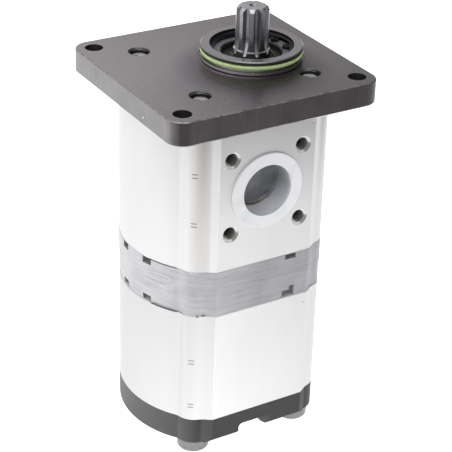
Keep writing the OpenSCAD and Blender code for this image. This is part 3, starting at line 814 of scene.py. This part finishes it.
def boss_fillets():
    """Concave blends where the bolt bosses grow out of the housing's round ends."""
    blend = 9.0
    lift, skin_depth = 0.01, 0.15
    steps = 12
    apart = BOLT_HALF * math.sqrt(2)
    lip_top = REAR_TOP + LIP_HEIGHT
    for name, low, high, grow, slot in (
            ("front_body", MIDDLE_TOP, FRONT_TOP, 0, "body_aluminium"),
            ("plate_upper", PLATE_SPLIT, MIDDLE_TOP, PLATE_STEP, "cast_aluminium"),
            ("plate_lower", lip_top, PLATE_SPLIT, -PLATE_STEP, "cast_aluminium"),
            ("plate_lip", REAR_TOP, lip_top, -LIP_STEP, "cast_aluminium"),
            ("rear_body", COVER_TOP, REAR_TOP, 0, "body_aluminium")):
        to_end, to_boss = END_R + grow + blend, BOSS_R + grow + blend
        reach = (apart ** 2 + to_end ** 2 - to_boss ** 2) / (2 * apart)
        side = math.sqrt(to_end ** 2 - reach ** 2)
        for index, (sx, sy) in enumerate(CORNERS):
            along = Vector((sx, sy, 0)).normalized()
            for sign in (-1, 1):
                centre = reach * along + sign * side * Vector((-along.y, along.x, 0))
                to_arc, to_bolt = -centre.normalized(), (apart * along - centre).normalized()
                middle = to_arc.slerp(to_bolt, 0.5)
                curve = [centre + (blend - lift) * to_arc.slerp(to_bolt, i / steps)
                         for i in range(steps + 1)]
                section = curve + [curve[-1] + skin_depth * middle, curve[0] + skin_depth * middle]
                rings = [[Vector((BODY_X + p.x, p.y, z)) for p in section] for z in (low, high)]
                piece = f"{name}_fillet_{2 * index + (sign > 0)}"
                skin(piece, rings, "housing", MATERIALS[slot])


def port_threads():
    """Thread crests, with their chamfered start, in the holes round the three ports."""
    material = tapped_aluminium("thread_crest", 1.0)
    depth = 12.0
    for name, z, side, half, radius, pitch in port_holes():
        crest = pitch * 0.54
        lead_in = ((radius + 0.44, -0.06), (radius - crest, -crest - 0.5),
                   (radius + 0.1, -crest - 0.7), (radius + 0.5, -0.6))
        for index, (sx, sz) in enumerate(CORNERS):
            place = port_place(z, side) @ Matrix.Translation((sx * half, sz * half, 0))
            helix_ridge(f"{name}_thread_{index}", radius, crest, pitch, -depth, -crest - 0.4,
                        "housing", material, place)
            lathe(f"{name}_lead_in_{index}", lead_in, 48,
                  "housing", material, place)


def through_bolts():
    """Socket-head cap screws, with a hex socket below and a threaded end in the plate."""
    floor = HEAD_LOW + 5
    rim = 1.8
    shank_r, core_r, tip_r = 5.0, 4.3, 3.5
    tip_low = BOLT_END - 0.8
    profile = [(4.0, floor, 6), (4.0, HEAD_LOW + 0.45, 6), (4.8, HEAD_LOW, 0)]
    profile += [(r, z, 0) for r, z in arc((HEAD_R - rim, HEAD_LOW + rim), rim, -90, 0, 8)]
    profile += [(HEAD_R, COVER_LOW - 0.3, 0), (HEAD_R - 0.3, COVER_LOW, 0), (shank_r, COVER_LOW, 0)]
    profile += [(shank_r, FRONT_TOP - 2, 0), (core_r, FRONT_TOP - 1, 0)]
    profile += [(core_r, tip_low, 0), (tip_r, BOLT_END, 0)]
    rings = [ring_at(r, z, sides) for r, z, sides in profile]
    zinc = MATERIALS["zinc_steel"]
    thread = dark_thread()
    end = plain_metal("bolt_end", (0.8, 0.8, 0.8), 0.4)
    for index, (x, y) in enumerate(BOLTS):
        place = Matrix.Translation((x, y, 0))
        placed = [[place @ point for point in ring] for ring in rings]
        bolt = skin(f"through_bolt_{index}", placed, "housing", zinc)
        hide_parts("through_bolts")
        bolt.data.materials.append(end)
        for face in bolt.data.polygons:
            face.material_index = int(face.center.z / MM > BOLT_END - 0.9)
        helix_ridge(f"through_bolt_thread_{index}", 4.28, 0.68, 1.5, FRONT_TOP - 0.5,
                    BOLT_END - 0.7, "housing", zinc, place, inward=False)
        helix_ridge(f"plate_thread_{index}", 5.04, 0.6, 1.5, -1.4, -0.4,
                    "housing", thread, place)


def on_plate(centre, radius, places):
    """Path through (angle, height) places on the middle plate's two stepped halves."""
    path = []
    for angle, z in places:
        reach = radius + (PLATE_STEP if z > PLATE_SPLIT else -PLATE_STEP)
        turn = math.radians(angle)
        path.append((centre[0] + reach * math.cos(turn), centre[1] + reach * math.sin(turn), z))
    return path


def body_marks():
    """Small marks on the housing: ticks, chips, flow lines, bright lines and dimples, with painted
    shadows in the seams and painted highlights on edges.
    """
    dark = plain_metal("mark_grey", (0.2, 0.2, 0.2), 0.5)
    gap_shadow = plain_metal("painted_gap_shadow", (0.05, 0.05, 0.05), 0.6)
    bright = plain_metal("bright_line", (0.95, 0.95, 0.95), 0.35)
    edge_highlight = rubber("painted_edge_highlight", (0.93, 0.93, 0.93), (0.98, 0.98, 0.98), 0.4)
    flow = plain_metal("flow_grey", (0.4, 0.4, 0.41), 0.5)
    boss = (BODY_X - BOLT_HALF, -BOLT_HALF)
    middle = (BODY_X, 0)
    # Ticks on the boss of both bodies
    on_bodies = [
        (dark, 0.16, around(boss, BOSS_R + 0.02, -139, -121, z))
        for z in (-35.8, -37.65, -61.65, -63.4, -138.55, -140.45, -164.5, -166.3)]
    # Painted shadows in the joints' seams, a painted highlight on the boss's edge at the upper
    # joint, bright lines, flow lines of the casting, dark chips, and a painted highlight on the
    # pocket's lower edge
    on_casting = [
        # Painted shadows: dark beads in the joints' seams, where the gap is in shade.
        (gap_shadow, 0.2, around(middle, END_R + 0.08, -163.5, -143, MIDDLE_TOP - 0.1)),
        (gap_shadow, 0.2, around(middle, END_R + 0.02, -161.5, -143, REAR_TOP + 0.1)),
        # Painted highlight: a bright bead on the boss's edge at the upper joint.
        (bright, 0.2, around(boss, BOSS_R + 0.2, -140, -112, MIDDLE_TOP - 0.25)),
        (bright, 0.12, on_plate(middle, END_R, (
            (-172, -99.4), (-169, -99.6), (-166, -99.8), (-163, -100), (-160, -100.2),
            (-157.5, -100.4)))),
        (bright, 0.12, on_plate(middle, END_R, (
            (-157, -100.65), (-154, -100.8), (-151, -100.9), (-148, -101.1), (-145.5, -101.2)))),
        (bright, 0.12, on_plate(boss, BOSS_R, (
            (-140, -101.4), (-137, -101.6), (-134, -101.9), (-131, -102.6)))),
        (flow, 0.075, on_plate(middle, END_R, (
            (-178, -95.2), (-174, -95.2), (-169, -95.1), (-166, -94.9), (-163, -94.6),
            (-160, -94.3), (-156, -93.8), (-153, -93.7), (-150.6, -93.6), (-147.4, -93.9),
            (-146.2, -94.4), (-145.8, -94.9), (-146, -95.8), (-146.4, -96.7), (-147.6, -97.6),
            (-149.2, -98.3), (-152, -98.7), (-154.5, -98.9), (-158, -99), (-161, -99.1),
            (-164, -99), (-167, -98.9)))),
        (flow, 0.06, on_plate(middle, END_R, (
            (-164, -96.2), (-160, -95.8), (-156, -95.6), (-152, -95.7), (-149, -96.1),
            (-148, -96.6)))),
        (bright, 0.1, on_plate(boss, BOSS_R, (
            (-139.5, -107.5), (-136, -107.7), (-133, -108.2), (-131, -108.7)))),
        (dark, 0.45, around(boss, BOSS_R - 0.2, -118, -113.5, REAR_TOP - 0.1, 3)),
        (dark, 0.3, around(boss, BOSS_R + 0.3, -101, -96, REAR_TOP + 0.1, 3)),
        (dark, 0.12, around(middle, END_R - 0.02, -148.5, -145.8, -93.6, 4)
         + around(middle, END_R + 0.02, -145.5, -145.2, -94.6, 1)),
        # Painted highlight: a bright bead along the pocket's lower edge.
        (bright, 0.15, [(x, -PORT_Y - 0.16, MIDDLE_TOP - 3.1) for x in (-3.2, -1, 1, 3)]),
    ]
    # Dimples of the port faces, and painted highlights on the edges at their left
    on_faces = []
    for material, radius, x, z in (
            (bright, 0.42, 9.3, -18.5), (dark, 0.34, 9.0, -20.2), (dark, 0.4, 9.0, -118.7)):
        path = [(x + step, -PORT_Y + radius * 0.6, z) for step in (-0.4, -0.2, 0, 0.2, 0.4)]
        on_faces.append((material, radius, path))
    flat_end = BODY_X - math.sqrt(END_R ** 2 - PORT_Y ** 2)
    # Painted highlights: pale beads along the port faces' left edges.
    for low, high in ((MIDDLE_TOP, FRONT_TOP), (COVER_TOP, REAR_TOP)):
        path = [(flat_end + 0.1, -PORT_Y + 0.08, low + (high - low) * i / 8) for i in range(9)]
        on_faces.append((edge_highlight, 0.22, path))
    marks = [("body_aluminium", mark) for mark in on_bodies]
    marks += [("cast_aluminium", mark) for mark in on_casting]
    marks += [("body_aluminium", mark) for mark in on_faces]
    for index, (slot, (material, radius, path)) in enumerate(marks):
        wire(f"body_mark_{index}", path, radius, "housing", material)


def plate_marks():
    """Scuffs on the mounting face and a glint on the plate's side."""
    scuff = plain_metal("scuff", (0.12, 0.115, 0.12), 0.4)
    bright = rubber("glint", (0.96, 0.96, 0.97), (1.0, 1.0, 1.0), 0.3)
    for index, (x, y, turn, length) in enumerate((
            (-34.5, 19.2, 20, 1.4), (-30.1, 17.1, -15, 1.2), (-67.9, 1.5, 35, 1.6),
            (-64.5, -4.1, 10, 1.2), (-56.5, -23.8, -30, 2.2), (-54.2, 6.3, 30, 2.6),
            (-40.6, -36.2, 70, 1.8))):
        a = math.radians(turn)
        step = Vector((math.cos(a), math.sin(a), 0)) * length / 2
        centre = Vector((x, y, -0.03))
        wire(f"plate_scuff_{index}", (centre - step, centre, centre + step), 0.09,
             "housing", scuff)
    side = BODY_X - PLATE_W / 2 + 0.25
    wire("plate_glint", ((side, -24.5, -7.95), (side, -24, -7.95), (side, -23.4, -7.9)), 0.85,
         "housing", bright)


def cap_glints():
    """Painted highlights: bright rings where the inlet cap's floor meets its wall, with a brown
    band between them.
    """
    pale = plain_metal("glint_pale", (0.75, 0.7, 0.62), 0.35)
    brown_band = plain_metal("glint_brown", (0.3, 0.2, 0.1), 0.3)
    for index, (radius, depth, thick, start, end, material) in enumerate((
            (11.75, 11.65, 0.16, -122, -52, pale), (12.85, 10.5, 0.14, -122, -58, pale),
            (12.3, 11.2, 0.34, -122, -72, brown_band))):
        path = [(BODY_X + x, depth - PORT_Y, INLET_Z + z)
                for x, z in arc((0, 0), radius, start, end, 20)]
        wire(f"cap_glint_{index}", path, thick, "inlet_cap", material)


def seal_grease():
    """Brown grease round the shaft in the seal's mouth."""
    material = grease()
    for index, path in enumerate((
            ((-7.3, 1.4, 1.0), (-8.6, 3.4, 1.2), (-8.4, 5.8, 1.2), (-7.3, 8.3, 1.0)),
            ((9.1, -6.9, 1.0), (10.2, -4, 1.2), (10.4, -1, 1.2), (9.4, 1.7, 1.0)))):
        wire(f"seal_grease_{index}", path, 0.7, "housing", material, 10)


# Stage, light and camera

def camera_matrix():
    a, e, r = (math.radians(v) for v in (CAMERA_AZIMUTH, CAMERA_ELEVATION, CAMERA_ROLL))
    back = Vector((math.sin(a) * math.cos(e), -math.cos(a) * math.cos(e), math.sin(e)))
    right = Vector((math.cos(a), math.sin(a), 0))
    up = back.cross(right)
    turned_right = math.cos(r) * right + math.sin(r) * up
    turned_up = -math.sin(r) * right + math.cos(r) * up
    turn = Matrix((turned_right, turned_up, back)).transposed()
    offset = Vector((*CAMERA_SHIFT_MM, -CAMERA_DISTANCE_MM)) * MM
    return Matrix.Translation(-(turn @ offset)) @ turn.to_4x4()


def add_camera():
    data = bpy.data.cameras.new("camera")
    data.sensor_width = SENSOR_MM
    data.lens = CAMERA_FOCAL_PX / PHOTO_SIZE * SENSOR_MM
    data.clip_start = 0.01
    camera = bpy.data.objects.new("camera", data)
    camera.matrix_world = camera_matrix()
    bpy.context.scene.collection.objects.link(camera)
    bpy.context.scene.camera = camera


def add_floor():
    """Pale floor, a little greyer out at the front, beyond what the photograph shows."""
    size = 6.0
    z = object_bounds()[0][2]
    corners = [(x * size, y * size, z) for x, y in CORNERS]
    mesh = bpy.data.meshes.new("floor")
    mesh.from_pydata(corners, [], [(0, 1, 2, 3)])
    floor = bpy.data.objects.new("floor", mesh)
    bpy.context.scene.collection.objects.link(floor)
    s = Shader("floor")
    forward = s.node("ShaderNodeVectorMath", operation="DOT_PRODUCT")
    s.link(s.point(), forward.inputs[0])
    forward.inputs[1].default_value = PHOTO_FRONT
    glow = s.range(forward.outputs["Value"], 0.14, 0.32, 1.3, 0.08)
    s.link(glow, s.principled.inputs["Emission Strength"])
    s.set(Base_Color=(0.6, 0.6, 0.6, 1), Roughness=0.9, Emission_Color=(1, 1, 1, 1))
    mesh.materials.append(s.material)


def area_light(name, place, target, size, watts):
    data = bpy.data.lights.new(name, "AREA")
    data.shape = "RECTANGLE"
    data.size, data.size_y = size
    data.energy = watts
    light = bpy.data.objects.new(name, data)
    light.location = place
    toward = Vector(target) - Vector(place)
    light.rotation_euler = toward.to_track_quat("-Z", "Y").to_euler()
    bpy.context.scene.collection.objects.link(light)


def add_world():
    """Pale surroundings, brightest to the left and above, greyer to the right."""
    world = bpy.data.worlds.new("studio")
    world.use_nodes = True
    nodes, links = world.node_tree.nodes, world.node_tree.links
    background = nodes["Background"]
    background.inputs["Color"].default_value = (1, 1, 1, 1)
    coords = nodes.new("ShaderNodeTexCoord")
    toward = nodes.new("ShaderNodeVectorMath")
    toward.operation = "DOT_PRODUCT"
    toward.inputs[1].default_value = Vector((-0.9, 0.2, 0.4)).normalized()
    links.new(coords.outputs["Generated"], toward.inputs[0])
    level = nodes.new("ShaderNodeMapRange")
    level.interpolation_type = "SMOOTHSTEP"
    limits = {"From Min": -0.6, "From Max": 0.5, "To Min": 0.15, "To Max": 0.84}
    for socket, number in limits.items():
        level.inputs[socket].default_value = number
    links.new(toward.outputs["Value"], level.inputs["Value"])
    links.new(level.outputs["Result"], background.inputs["Strength"])
    bpy.context.scene.world = world


def add_lights():
    bpy.context.scene.view_settings.view_transform = "Standard"
    middle = (-0.015, 0, -0.1)
    area_light("key_left", (-1.3, 0.0, 0.25), middle, (1.2, 1.4), 1.2)
    area_light("high_front", (0.0, -0.85, 0.8), middle, (1.2, 0.8), 0.3)
    area_light("top", (-0.2, -0.3, 1.5), middle, (1.4, 1.4), 5)


dress_cad_nodes()
boss_fillets()
port_threads()
through_bolts()
body_marks()
plate_marks()
cap_glints()
seal_grease()
add_camera()
add_floor()
add_world()
add_lights()
